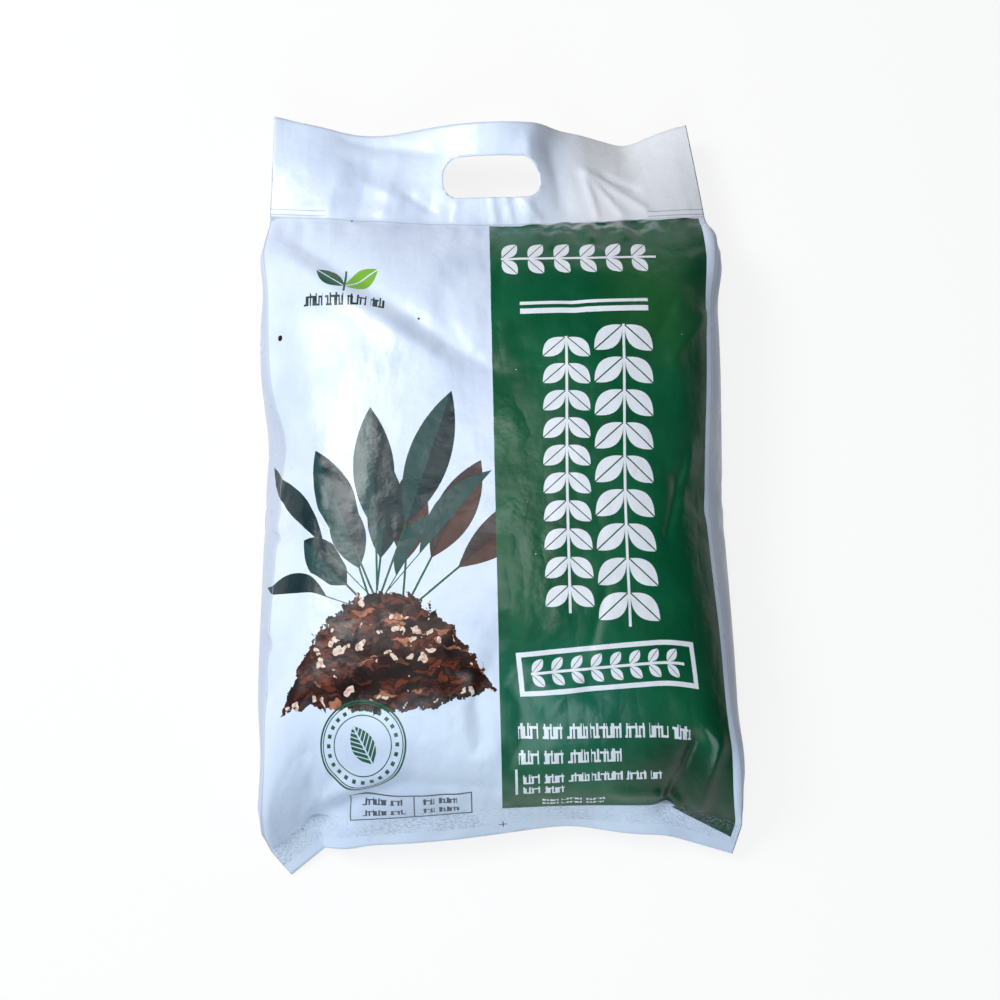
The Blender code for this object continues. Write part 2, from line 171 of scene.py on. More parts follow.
def corner_turn(across):
    """How far the bottom weld has turned down at a point of the flat film."""
    left = LEFT_LEAN * eased(0, LEAN_REACH, -across)
    left += LEFT_EAR_TURN * eased(LEFT_EAR_START, LEFT_EAR_START + LEFT_EAR_BEND, -across)
    right = RIGHT_EAR_TURN * eased(RIGHT_EAR_START, RIGHT_EAR_START + RIGHT_EAR_BEND, across)
    return left - right


def bottom_weld_run():
    """The bottom weld's plan, laid out from its middle: distances across the film, x and y."""
    step = HALF_WIDTH / RUN_STEPS
    along = {0: (0.0, BOTTOM_WELD_PLACE)}
    for side in (-1, 1):
        x, y = along[0]
        for k in range(1, RUN_STEPS + 1):
            turn = corner_turn(side * (k - 0.5) * step)
            x += side * step * math.cos(turn)
            y += side * step * math.sin(turn)
            along[side * k] = (x, y)
    order = sorted(along)
    return [k * step for k in order], [along[k][0] for k in order], [along[k][1] for k in order]


RUN_ACROSS, RUN_X, RUN_Y = bottom_weld_run()


def bottom_weld(across):
    """Where a point of the flat film lies along the bottom weld's inner line."""
    wave = BOTTOM_WAVE * math.sin(2 * math.pi * across / PANEL_WIDTH)
    x = float(np.interp(across, RUN_ACROSS, RUN_X))
    y = float(np.interp(across, RUN_ACROSS, RUN_Y)) + wave
    return x, y, curve_through(WELD_RISE, across / HALF_WIDTH)


def below_weld(across, along):
    """The middle surface of the bottom weld and the flap."""
    x, y, z = bottom_weld(across)
    turn = corner_turn(across)
    drop = WELD_EDGE - along
    edge = curve_through(EDGE_RISE, across / HALF_WIDTH)
    fall = (z - edge) * drop / WELD_EDGE
    reach = math.sqrt(max(drop ** 2 - fall ** 2, 0.0))
    return x + reach * math.sin(turn), y - reach * math.cos(turn), z - fall


print("bottom weld from", [round(c / MM) for c in bottom_weld(-HALF_WIDTH)],
      "to", [round(c / MM) for c in bottom_weld(HALF_WIDTH)])

# %% [markdown]
# ## The filled form
# Before the cloth is let go it needs a starting form that is close to the answer: a fat
# section, flat where it lies on the floor, which eases into the flat film at each weld.

# %% Section of the filled bag
HEAD_HEIGHT = 93 * MM
FOOT_HEIGHT = 102 * MM
HALF_WIDTHS = ((0.0, 152 * MM), (0.25, 152 * MM), (0.50, 148 * MM), (0.75, 152 * MM),
               (1.0, 151 * MM))
FLOOR_PRESS = 2.0 * MM
CROWN_POWER = 2.5
BED_POWER = 4.5
END_ROUNDING = 88 * MM
SECTION_SAMPLES = 721
PLY = 0.3 * MM
TUCKED_PLIES = 0.2 * MM


def filled_section(place):
    """Half the outline at a place along the bag: lengths so far, x and heights."""
    half_width = curve_through(HALF_WIDTHS, place)
    half_height = (FOOT_HEIGHT + (HEAD_HEIGHT - FOOT_HEIGHT) * place + FLOOR_PRESS) / 2
    angle = np.linspace(0, math.pi, SECTION_SAMPLES)
    power = np.where(angle < math.pi / 2, CROWN_POWER, BED_POWER)
    x = half_width * np.abs(np.sin(angle)) ** (2 / power)
    up = np.sign(np.cos(angle)) * np.abs(np.cos(angle)) ** (2 / power)
    height = half_height * (1 + up) - FLOOR_PRESS
    height = np.maximum(height, 0.0)
    length = np.concatenate([[0.0], np.cumsum(np.hypot(np.diff(x), np.diff(height)))])
    return length, x, height


def tucked(girth):
    """A point of the tube in the flat bag: how far across it lies, and its side.

    The side is 1 on the front ply, -1 on the back ply and between them in a gusset.
    """
    beyond = abs(girth) - HALF_WIDTH
    if beyond <= 0:
        return girth, 1.0
    if beyond < 2 * GUSSET_DEPTH:
        depth = GUSSET_DEPTH - abs(beyond - GUSSET_DEPTH)
        return math.copysign(HALF_WIDTH - depth, girth), 1 - beyond / GUSSET_DEPTH
    return math.copysign(HALF_GIRTH, girth) - girth, -1.0


def ply_height(across, side):
    """How far a ply of the flat bag lies from its middle surface."""
    four_plies = eased(-0.3, 0.0, (abs(across) - HALF_WIDTH + GUSSET_DEPTH) / GUSSET_DEPTH)
    if abs(side) == 1.0:
        return side * (PLY + TUCKED_PLIES * four_plies)
    return side * (PLY + TUCKED_PLIES)


def start_point(girth, along, section):
    """The place of a point of the film before the cloth is let go."""
    across, side = tucked(girth)
    ply = ply_height(across, side)
    if along < WELD_EDGE:
        x, y, z = below_weld(across, along)
        return x, y, z + ply
    if along > TOP_WELD:
        x, y, z = header(across, along)
        return x, y, z + ply
    place = (along - WELD_EDGE) / BODY_LENGTH
    low, high = bottom_weld(across), top_weld(across)
    x, y, z = (a + (b - a) * place for a, b in zip(low, high))
    foot = eased(0, END_ROUNDING, along - WELD_EDGE)
    head = eased(0, END_ROUNDING, TOP_WELD - along)
    fullness = math.sqrt(foot * head)
    length, outline_x, outline_z = section
    target = abs(girth) / HALF_GIRTH * length[-1]
    full_x = math.copysign(np.interp(target, length, outline_x), girth) + TOP_WELD_SHIFT * place
    full_z = np.interp(target, length, outline_z)
    return x + (full_x - x) * fullness, y, z + ply + (full_z - z - ply) * fullness


# %% [markdown]
# ## A sheet of film, rolled into a tube
# The film is one grid of quads. Its columns land on the four folds of the tube, and its rows
# on the welds. The tube is closed down the middle of the back, where such bags have their
# long seam, and each point keeps its two lengths in the flat film, in metres, as a UV map.

# %% Columns and rows of the film
FILM_STEP = 4.2 * MM
MERGE_DISTANCE = 0.01 * MM


def evenly(start, end):
    """Places from start up to end, about a film step apart, without the end."""
    count = max(2, round((end - start) / FILM_STEP))
    return [start + (end - start) * k / count for k in range(count)]


FOLDS = (-HALF_GIRTH, -HALF_WIDTH - 2 * GUSSET_DEPTH, -HALF_WIDTH - GUSSET_DEPTH, -HALF_WIDTH,
         HALF_WIDTH, HALF_WIDTH + GUSSET_DEPTH, HALF_WIDTH + 2 * GUSSET_DEPTH, HALF_GIRTH)
columns = [girth for start, end in zip(FOLDS, FOLDS[1:]) for girth in evenly(start, end)]
LEVELS = (0.0, FLAP_LENGTH, WELD_EDGE, TOP_WELD, TOP_EDGE)
rows = [along for start, end in zip(LEVELS, LEVELS[1:]) for along in evenly(start, end)]
rows.append(TOP_EDGE)
print("film grid:", len(columns), "by", len(rows) - 1)


# %% Roll the sheet
def rolled_film():
    """The film as an open tube in its starting form."""
    mesh = bpy.data.meshes.new("bag_film")
    bm = bmesh.new()
    bmesh.ops.create_grid(bm, x_segments=len(columns), y_segments=len(rows) - 1, size=1.0)
    uv = bm.loops.layers.uv.new("film")
    sections = [filled_section(min(1, max(0, (along - WELD_EDGE) / BODY_LENGTH))) for along in rows]
    girths = columns + [HALF_GIRTH]
    for vertex in bm.verts:
        column = round((vertex.co.x + 1) / 2 * len(columns))
        row = round((vertex.co.y + 1) / 2 * (len(rows) - 1))
        for loop in vertex.link_loops:
            loop[uv].uv = (girths[column], rows[row])
        vertex.co = start_point(girths[column], rows[row], sections[row])
    bmesh.ops.remove_doubles(bm, verts=bm.verts, dist=MERGE_DISTANCE)
    low = Vector(min(v.co[k] for v in bm.verts) for k in range(3))
    high = Vector(max(v.co[k] for v in bm.verts) for k in range(3))
    shift = (cad_box[0] + cad_box[1]) / 2 - (low + high) / 2
    shift.z = 0
    bmesh.ops.translate(bm, verts=bm.verts, vec=shift)
    bm.to_mesh(mesh)
    bm.free()
    bag = bpy.data.objects.new("bag_film", mesh)
    bpy.context.scene.collection.objects.link(bag)
    print("starting form, mm:", [round(side / MM, 1) for side in high - low],
          "moved by", [round(c / MM, 2) for c in shift])
    return bag, shift


bag, film_shift = rolled_film()


# %% Read the film's lengths back from its UV map
def film_lengths(mesh):
    """How far round the film each vertex lies, and how far up it."""
    corners = np.empty(len(mesh.loops), dtype=np.int32)
    mesh.loops.foreach_get("vertex_index", corners)
    places = np.empty(len(mesh.loops) * 2, dtype=np.float32)
    mesh.uv_layers["film"].data.foreach_get("uv", places)
    lengths = np.empty((len(mesh.vertices), 2))
    lengths[corners] = places.reshape(-1, 2)
    return lengths[:, 0], lengths[:, 1]


# %% [markdown]
# ## Let the film settle
# Cloth simulation gives the folds that no formula has: the film keeps its flat lengths while
# a light pressure holds it out and the floor holds it up, and what is left over wrinkles. The
# welds, flap and header are pinned, and the folds of the gussets are stiffer than the rest.

# %% Cloth settings
PRESSURE = 4.0
SETTLING_FRAMES = 30
FOLD_STIFFNESS = 4.0


def add_rest_shape(bag):
    """The flat bag, as a shape key that the cloth measures its threads on."""
    bag.shape_key_add(name="filled")
    key = bag.shape_key_add(name="flat bag")
    for point, girth, along in zip(key.data, *film_lengths(bag.data)):
        across, side = tucked(float(girth))
        point.co = (across, along, ply_height(across, side))
    key.value = 0.0
    return key


def add_groups(bag):
    """Vertex groups for what is pinned and what is folded."""
    pinned = bag.vertex_groups.new(name="pinned")
    folded = bag.vertex_groups.new(name="folded")
    for index, (girth, along) in enumerate(zip(*film_lengths(bag.data))):
        if not WELD_EDGE + MM / 10 < along < TOP_WELD - MM / 10:
            pinned.add([index], 1.0, "REPLACE")
        if any(abs(girth - fold) < FILM_STEP / 4 for fold in FOLDS[1:-1]):
            folded.add([index], 1.0, "REPLACE")


def add_floor():
    """A floor for the cloth to lie on, taken away afterwards."""
    bpy.ops.mesh.primitive_plane_add(size=1.0)
    floor = bpy.context.object
    floor.modifiers.new("Collision", "COLLISION")
    floor.collision.thickness_outer = MM
    floor.collision.cloth_friction = 20
    return floor


def settle(bag):
    """Run the cloth and keep its result as the bag's mesh."""
    key = add_rest_shape(bag)
    add_groups(bag)
    floor = add_floor()
    cloth = bag.modifiers.new("Cloth", "CLOTH")
    settings = cloth.settings
    settings.quality = 6
    settings.mass = 0.002
    settings.tension_stiffness = 60
    settings.compression_stiffness = 60
    settings.shear_stiffness = 42
    settings.bending_stiffness = 0.12
    settings.bending_stiffness_max = FOLD_STIFFNESS
    settings.vertex_group_bending = "folded"
    settings.tension_damping = 15
    settings.compression_damping = 15
    settings.shear_damping = 10
    settings.air_damping = 5
    settings.rest_shape_key = key
    settings.vertex_group_mass = "pinned"
    settings.use_pressure = True
    settings.uniform_pressure_force = PRESSURE
    settings.effector_weights.gravity = 0.3
    cloth.collision_settings.distance_min = MM
    cloth.point_cache.frame_end = SETTLING_FRAMES
    for step in range(1, SETTLING_FRAMES + 1):
        bpy.context.scene.frame_set(step)
    smooth = bag.modifiers.new("Smooth", "SUBSURF")
    smooth.levels = 1
    smooth.render_levels = 1
    settled = bag.evaluated_get(bpy.context.evaluated_depsgraph_get())
    mesh = bpy.data.meshes.new_from_object(settled)
    bag.modifiers.clear()
    bag.shape_key_clear()
    bag.vertex_groups.clear()
    bag.data = mesh
    bpy.data.objects.remove(floor)
    bpy.context.scene.frame_set(1)


settle(bag)
print("settled film:", len(bag.data.vertices), "points, highest",
      round(max(v.co.z for v in bag.data.vertices) / MM, 1), "mm")

# %% [markdown]
# ## Creases
# A real film also keeps creases from handling: sharp lines that a cloth of this fineness
# rounds away. Each one is a short line on the flat film, with a half-width and a height, and
# the film is pushed out or in along its normal there. Positive heights are ridges. Broad
# bulges and hollows are added in the same way, around a middle point, and the underside is
# set down on the floor.

# %% Ridges and valleys in the film
CREASES = (
    # The two long folds from the top left towards the middle.
    ((-146, 418), (4, 308), 11, -4.2), ((-146, 396), (-30, 316), 9, 2.6),
    # Puckers below the top weld, then the shading folds of the green half.
    ((52, 429), (44, 402), 3.5, 1.4), ((60, 429), (66, 408), 3, -1.6),
    ((70, 428), (74, 410), 3, 1.5), ((84, 429), (80, 404), 4, -1.6),
    ((93, 429), (98, 410), 3, 1.4), ((103, 429), (112, 400), 4, -1.2),
    ((132, 250), (116, 196), 4, -2.0), ((140, 262), (126, 210), 5, 1.2),
    ((74, 168), (60, 124), 3, -1.0), ((66, 120), (30, 80), 4, 0.8),
    # Darts in the left side, and the folds that run up from the lower left corner.
    ((-166, 214), (-134, 210), 3.5, -3.0), ((-168, 150), (-134, 140), 5, -3.0),
    ((-128, 22), (-62, 45), 5, -3.4), ((-62, 45), (2, 38), 5, -2.2),
    ((-124, 34), (-60, 56), 6, 1.8),
    # The deep fold at the lower right corner and the small ones beside it.
    ((132, 74), (104, 18), 6, -5.0), ((146, 78), (126, 24), 6, 3.4),
    ((100, 32), (116, 25), 3.5, 2.4), ((70, 33), (104, 31), 3.5, 1.6),
    # The upper right shoulder.
    ((148, 396), (128, 352), 6, 1.8), ((152, 352), (122, 316), 6, 1.8),
    ((140, 378), (112, 330), 6, -1.4),
    # The header: a fan of folds right of the slot, then soft folds left of it and under it.
    ((73, 470), (80, 432), 2.5, 1.6), ((74, 470), (99, 433), 2.5, 1.6),
    ((75, 471), (118, 436), 2.5, 1.8), ((87, 468), (112, 454), 2.5, -1.8),
    ((34, 492), (30, 432), 6, 2.2), ((50, 490), (58, 436), 9, -2.4),
    ((-110, 496), (-34, 482), 6, -2.2), ((-57, 452), (-36, 438), 2.5, -1.2),
    ((-92, 462), (-60, 446), 6, 1.6), ((4, 450), (6, 432), 2.5, 1.2),
    ((14, 452), (18, 432), 2.5, 1.2), ((24, 450), (40, 432), 2.5, 1.4),
    ((-104, 476), (-116, 432), 7, 1.8), ((-62, 484), (-76, 432), 8, 2.0),
    ((-20, 448), (-24, 432), 3, 1.0), ((-84, 476), (-94, 432), 7, -1.6),
    ((-38, 452), (-46, 432), 6, -1.2),
)
SOFT_FORMS = (
    ((172, 392), 22, 9.0), ((166, 412), 16, 5.0), ((-168, 398), 20, 6.0), ((-168, 272), 26, -10.0),
    ((-150, 120), 14, -2.0), ((172, 60), 26, 6.0), ((-172, 44), 24, 7.0),
)
SOFT_FORM_EDGE = 10
GATHER_HEIGHT = 0.45
GATHER_REACH_TOP = 16
GATHER_REACH_FOOT = 14
GATHER_EDGE = 6
UNDERSIDE_HEIGHT = 40 * MM


def crease_rise(girth, along, start, end, width, height):
    """How far one crease lifts the film at each point."""
    run = np.subtract(end, start)
    length = math.hypot(*run)
    side_u = girth - start[0]
    side_v = along - start[1]
    share = (side_u * run[0] + side_v * run[1]) / length ** 2
    off = (side_u * run[1] - side_v * run[0]) / length
    fade = np.clip(np.minimum(share, 1 - share) * 4 + 0.5, 0, 1)
    fade = fade * fade * (3 - 2 * fade)
    return height * np.exp(-np.abs(off / width) ** 1.5) * fade


def gathers(girth, along):
    """The fine wrinkles that both welds draw into the film beside them."""
    under_top = TOP_WELD / MM - along
    over_foot = along - WELD_EDGE / MM
    top = np.exp(-(under_top / GATHER_REACH_TOP) ** 2) * (under_top > 0)
    foot = np.exp(-(over_foot / GATHER_REACH_FOOT) ** 2) * (over_foot > 0)
    ripple = np.sin(girth / 2.9 + 2 * np.sin(girth / 21)) + 0.7 * np.sin(girth / 4.7 + 1.3)
    top_start = np.sin(np.clip(under_top / GATHER_EDGE, 0, math.pi / 2))
    foot_start = np.sin(np.clip(over_foot / GATHER_EDGE, 0, math.pi / 2))
    return GATHER_HEIGHT * ripple * (top * top_start + foot * foot_start)


def plies_together(girth, along):
    """Where each ply is creased, and its sign: past the welds a crease moves all plies at once."""
    beyond = np.abs(girth) - HALF_WIDTH / MM
    depth = GUSSET_DEPTH / MM
    flat = (along > TOP_WELD / MM) | (along < WELD_EDGE / MM)
    in_gusset = np.copysign(HALF_WIDTH / MM - depth + np.abs(beyond - depth), girth)
    on_back = np.copysign(HALF_GIRTH / MM, girth) - girth
    across = np.select([beyond <= 0, beyond < 2 * depth], [girth, in_gusset], on_back)
    sign = np.select([beyond <= 0, beyond < depth, beyond < 2 * depth], [1, -1, 1], -1)
    return np.where(flat, across, girth), np.where(flat, sign, 1)


def press_creases(bag):
    """Push the film along its normals by all the creases together."""
    mesh = bag.data
    girth, along = (length / MM for length in film_lengths(mesh))
    across, sign = plies_together(girth, along)
    rise = gathers(girth, along)
    for start, end, width, height in CREASES:
        rise += crease_rise(across, along, start, end, width, height) * sign
    from_weld = np.minimum(along - WELD_EDGE / MM, TOP_WELD / MM - along)
    filled = np.clip(from_weld / SOFT_FORM_EDGE, 0, 1)
    for (middle_u, middle_v), reach, height in SOFT_FORMS:
        away = (girth - middle_u) ** 2 + (along - middle_v) ** 2
        rise += height * np.exp(-away / reach ** 2) * filled
    places = np.empty(len(mesh.vertices) * 3, dtype=np.float32)
    normals = np.empty(len(mesh.vertices) * 3, dtype=np.float32)
    mesh.vertices.foreach_get("co", places)
    mesh.vertices.foreach_get("normal", normals)
    places, normals = places.reshape(-1, 3), normals.reshape(-1, 3)
    floor_gap = places[:, 2].min()
    lowered = floor_gap * np.clip(1 - places[:, 2] / UNDERSIDE_HEIGHT, 0, 1)
    places += normals * rise[:, None] * MM
    places[:, 2] = np.maximum(places[:, 2] - lowered, 0.0)
    mesh.vertices.foreach_set("co", places.ravel())
    mesh.update()
    print("creases:", len(CREASES), "highest", round(rise.max(), 1),
          "deepest", round(rise.min(), 1), "mm")
    print("underside lowered by", round(float(floor_gap) / MM, 1), "mm")


press_creases(bag)

# %% [markdown]
# ## The carrying slot
# The slot is punched through the flat header, so it is a Boolean cut: a rounded prism that
# follows the header's own surface and runs past both plies. The open ends of the tube are
# closed before it, with flat faces that leave the shading of the film alone.

# %% Punch the slot and close the ends
SLOT_WIDTH = 70.5 * MM
SLOT_HEIGHT = 28 * MM
SLOT_CORNER = 12 * MM
SLOT_BOW = 2.5 * MM
SLOT_ACROSS = 4.8 * MM
SLOT_ABOVE_WELD = 32 * MM
PUNCH_REACH = 12 * MM
CORNER_STEPS = 8


def slot_outline():
    """Points of the slot on the flat film."""
    points = []
    for corner in range(4):
        side_x = (1, -1, -1, 1)[corner]
        side_y = (1, 1, -1, -1)[corner]
        for step in range(CORNER_STEPS + 1):
            angle = math.pi / 2 * (corner + step / CORNER_STEPS)
            across = side_x * (SLOT_WIDTH / 2 - SLOT_CORNER) + SLOT_CORNER * math.cos(angle)
            up = side_y * (SLOT_HEIGHT / 2 - SLOT_CORNER) + SLOT_CORNER * math.sin(angle)
            bow = SLOT_BOW * (1 - (2 * across / SLOT_WIDTH) ** 2)
            points.append((SLOT_ACROSS + across, TOP_WELD + SLOT_ABOVE_WELD + up + bow))
    return points


def punch():
    """The prism that cuts the slot."""
    bm = bmesh.new()
    reach = Vector((0, 0, PUNCH_REACH))
    low = [bm.verts.new(Vector(header(*place)) + film_shift - reach) for place in slot_outline()]
    face = bm.faces.new(low)
    grown = bmesh.ops.extrude_face_region(bm, geom=[face])["geom"]
    top = [part for part in grown if isinstance(part, bmesh.types.BMVert)]
    bmesh.ops.translate(bm, verts=top, vec=(0, 0, 2 * PUNCH_REACH))
    bmesh.ops.recalc_face_normals(bm, faces=bm.faces)
    mesh = bpy.data.meshes.new("punch")
    bm.to_mesh(mesh)
    bm.free()
    tool = bpy.data.objects.new("punch", mesh)
    bpy.context.scene.collection.objects.link(tool)
    return tool


def close_ends(mesh):
    """Fill the tube's two open ends."""
    bm = bmesh.new()
    bm.from_mesh(mesh)
    rims = [edge for edge in bm.edges if edge.is_boundary]
    filled = bmesh.ops.holes_fill(bm, edges=rims, sides=0)["faces"]
    parts = bmesh.ops.triangulate(bm, faces=filled)["faces"]
    bmesh.ops.recalc_face_normals(bm, faces=bm.faces)
    for face in bm.faces:
        face.smooth = True
    for face in parts:
        face.smooth = False
    bm.to_mesh(mesh)
    bm.free()
    print("closed ends:", len(filled), "film faces:", len(mesh.polygons))


def split_rim(mesh):
    """Split the cut's many-sided faces into triangles, so that none folds over itself."""
    bm = bmesh.new()
    bm.from_mesh(mesh)
    many_sided = [face for face in bm.faces if len(face.verts) > 4]
    bmesh.ops.triangulate(bm, faces=many_sided)
    bm.to_mesh(mesh)
    bm.free()
    print("slot's rim: split", len(many_sided), "faces")


close_ends(bag.data)
tool = punch()
cut = bag.modifiers.new("Slot", "BOOLEAN")
cut.object = tool
cut.operation = "DIFFERENCE"
cut.solver = "EXACT"
punched = bpy.data.meshes.new_from_object(bag.evaluated_get(bpy.context.evaluated_depsgraph_get()))
bag.modifiers.clear()
bag.data = punched
bpy.data.objects.remove(tool)
split_rim(bag.data)
print("punched film:", len(bag.data.polygons), "faces")

# %% [markdown]
# ## The film's finish and its print
# The print is drawn by the shader in millimetres of flat film, so it stretches and folds with
# the bag. Every shape is a short sum on two lengths, so the arithmetic is written as Python
# expressions: a small class wraps a socket, and its operators add Math nodes.

# %% Shader arithmetic
class Field:
    """A value that varies over the film. Arithmetic on it adds Math nodes."""

    tree = None

    def __init__(self, socket):
        self.socket = socket

    @classmethod
    def node(cls, kind, settings, values, output=0):
        """Any node: its type, its settings, and the values or links of its sockets."""
        made = cls.tree.nodes.new("ShaderNode" + kind)
        for name, value in settings.items():
            setattr(made, name, value)
        for name, value in values.items():
            if isinstance(value, Field):
                cls.tree.links.new(value.socket, made.inputs[name])
            else:
                made.inputs[name].default_value = value
        return cls(made.outputs[output])

    def math(self, operation, *others):
        """One Math node on this value and the others."""
        return Field.node("Math", {"operation": operation}, dict(enumerate((self, *others))))

    def __add__(self, other):
        return self.math("ADD", other)

    __radd__ = __add__

    def __mul__(self, other):
        return self.math("MULTIPLY", other)

    __rmul__ = __mul__

    def __sub__(self, other):
        return self.math("SUBTRACT", other)

    def __rsub__(self, other):
        return self.math("MULTIPLY_ADD", -1.0, other)

    def __truediv__(self, other):
        return self.math("DIVIDE", other)

    def __abs__(self):
        return self.math("ABSOLUTE")

    def __lt__(self, other):
        return self.math("LESS_THAN", other)

    def __gt__(self, other):
        return self.math("GREATER_THAN", other)

    def __or__(self, other):
        return self.math("MAXIMUM", other)

    def near(self, middle, reach):
        """1 where the value is within reach of the middle."""
        return self.math("COMPARE", middle, reach)

    def between(self, low, high):
        """1 where the value lies between two numbers."""
        return self.near((low + high) / 2, (high - low) / 2)

    def sine(self):
        return self.math("SINE")

    def wrapped(self, low, high):
        """The value brought back between two numbers, as on a roll."""
        return self.math("WRAP", high, low)


def placed(point, origin, angle=0.0):
    """Lengths along and across a line that starts at an origin on the film, at an angle."""
    line = {"Vector": point, "Location": (*origin, 0.0),
            "Rotation": (0.0, 0.0, math.radians(angle))}
    turned = Field.node("Mapping", {"vector_type": "TEXTURE"}, line)
    apart = Field.node("SeparateXYZ", {}, {0: turned})
    return apart, Field(apart.socket.node.outputs[1])


def distance(point, origin):
    """How far the film's points are from an origin."""
    ends = {0: point, 1: (*origin, 0.0)}
    return Field.node("VectorMath", {"operation": "DISTANCE"}, ends, output=1)


def noise(point, scale, detail=2.0, roughness=0.5, stretch=None):
    """Soft noise, 0 to 1, of a scale in cycles per millimetre."""
    if stretch is not None:
        point = Field.node("Mapping", {}, {"Vector": point, "Scale": stretch})
    values = {"Vector": point, "Scale": scale, "Detail": detail, "Roughness": roughness}
    return Field.node("TexNoise", {}, values)


def ink(red, green, blue):
    """A printed colour, given as the eye sees it, from 0 to 255."""
    def linear(value):
        share = value / 255
        return share / 12.92 if share <= 0.04045 else ((share + 0.055) / 1.055) ** 2.4
    return linear(red), linear(green), linear(blue), 1.0


def painted(ground, colour, mask):
    """One colour laid over another where a mask is 1."""
    return Field.node("Mix", {"data_type": "RGBA"}, {0: mask, 6: ground, 7: colour}, output=2)


def cells(point, scale, feature="F1", output=0):
    """A Voronoi pattern of a scale in cells per millimetre."""
    values = {"Vector": point, "Scale": scale, "Randomness": 1.0}
    return Field.node("TexVoronoi", {"feature": feature}, values, output)


def levels(value, from_low, from_high, to_low, to_high):
    """A value moved smoothly from one range to another, and kept in it."""
    ranges = {"Value": value, "From Min": from_low, "From Max": from_high,
              "To Min": to_low, "To Max": to_high}
    return Field.node("MapRange", {"interpolation_type": "SMOOTHSTEP"}, ranges)


# %% Shapes that the print repeats
LEAF_LEAN = 48


def leaf(along, across, length, half_width):
    """A lens-shaped leaf that starts at the origin."""
    reach = along.math("MULTIPLY_ADD", 2 / length, -1.0)
    return abs(across) < half_width - half_width * (reach * reach)


def sprig(point, origin, angle, length, pairs, leaf_length, half_width):
    """A straight stem with pairs of leaves, as an ornament in one colour."""
    along, across = placed(point, origin, angle)
    pitch = length / pairs
    within = along.between(0, length)
    cell = along.wrapped(0.0, pitch)
    side = abs(across)
    lean = math.radians(LEAF_LEAN)
    out = cell * math.cos(lean) + side * math.sin(lean)
    off = side * math.cos(lean) - cell * math.sin(lean)
    blade = leaf(out - 1.2, off, leaf_length, half_width) * (abs(off) > half_width * 0.06)
    return (blade | (side < 0.9)) * within


def words(girth, along, lines, seed):
    """Rows of plain strokes, joined here and there at head or foot, as a generic fine print."""
    phase = along.math("SNAP", 7.0) * 0.9 + seed
    tall = (girth * 1.3 + phase).sine() > 0.3
    strokes = (girth * 2.1 + (girth * 0.9 + phase).sine() * 1.6).sine() > -0.2
    joined = (girth * 0.71 + phase).sine()
    rows = None
    for left, right, low, high in lines:
        body = low + (high - low) * 0.8
        bar = (high - low) * 0.17
        upright = (along.between(low, body) | along.between(low, high) * tall) * strokes
        feet = along.between(low, low + bar) * (joined > 0.1)
        feet = feet | along.between(body - bar, body) * (joined < 0.4)
        line = girth.between(left, right) * (upright | feet)
        rows = line if rows is None else rows | line
    gaps = (girth * 0.37 + phase).sine() + (girth * 0.83 + phase).sine() > -1.2
    return rows * gaps


def fan(point, origin, turn, reach, sectors, spread, half_width):
    """A plant that fans out from one point: its leaves, its stalks, and each leaf's light half."""
    along, across = placed(point, origin, turn)
    angle = across.math("ARCTAN2", along)
    radius = distance(point, origin)
    step = math.radians(spread) * 2 / sectors
    local = angle.wrapped(-step / 2, step / 2)
    size = ((angle - local) * (4.3 / step)).sine() * 0.16 + 1.0
    length = radius / size
    off = radius * local.sine()
    inside = abs(angle) < math.radians(spread)
    blade = leaf(length - reach * 0.36, off, reach * 0.64, half_width) * inside
    stalk = (abs(off) < 0.7) * (length < reach * 0.5) * inside
    return blade, stalk, off > 0.0


# %% [markdown]
# ## What is printed
# The front has a white half with a picture and a green half with ornaments. All of it is
# generic: plain leaves, a heap of compost, rules, bars and rings. All lengths are in
# millimetres of flat film, across from the middle of the front and up from the bottom edge.

# %% The colours
FILM_WHITE = ink(216, 229, 250)
FILM_SHADE = ink(190, 204, 232)
# Painted shade for the gussets.
GUSSET_SHADE = ink(178, 188, 208)
HEADER_WHITE = ink(232, 232, 236)
GREEN = ink(3, 78, 48)
GREEN_LIGHT = ink(20, 104, 70)
# Painted shade for the right edge and the lower right corner of the green.
GREEN_PAINTED_SHADE = ink(2, 50, 32)
# Painted warm reflection for the upper right of the green.
GREEN_PAINTED_REFLECTION = ink(44, 96, 44)
# Painted teal sheen for the lower left of the green.
GREEN_PAINTED_SHEEN = ink(34, 122, 106)
PRINT_WHITE = ink(232, 236, 246)
LEAF_DARK = ink(8, 40, 46)
LEAF_LIGHT = ink(22, 66, 66)
LEAF_RED = ink(72, 42, 32)
LEAF_SHADE = ink(44, 32, 30)
SOIL_DARK = ink(34, 16, 16)
SOIL_RED = ink(122, 58, 38)
BARK_LIGHT = ink(176, 112, 84)
PERLITE = ink(224, 212, 200)
BLACK = ink(14, 8, 10)
LINE_GREEN = ink(24, 84, 58)
FRESH_GREEN = ink(120, 176, 60)
TITLE_GREY = ink(38, 62, 60)
TEXT_GREY = ink(70, 84, 92)
WELD_GREY = ink(138, 144, 160)
LINE_GREY = ink(160, 165, 182)
# Painted shade for the side folds and the top weld.
FOLD_PAINTED_SHADE = ink(158, 166, 190)
MARK_BLACK = ink(18, 16, 22)


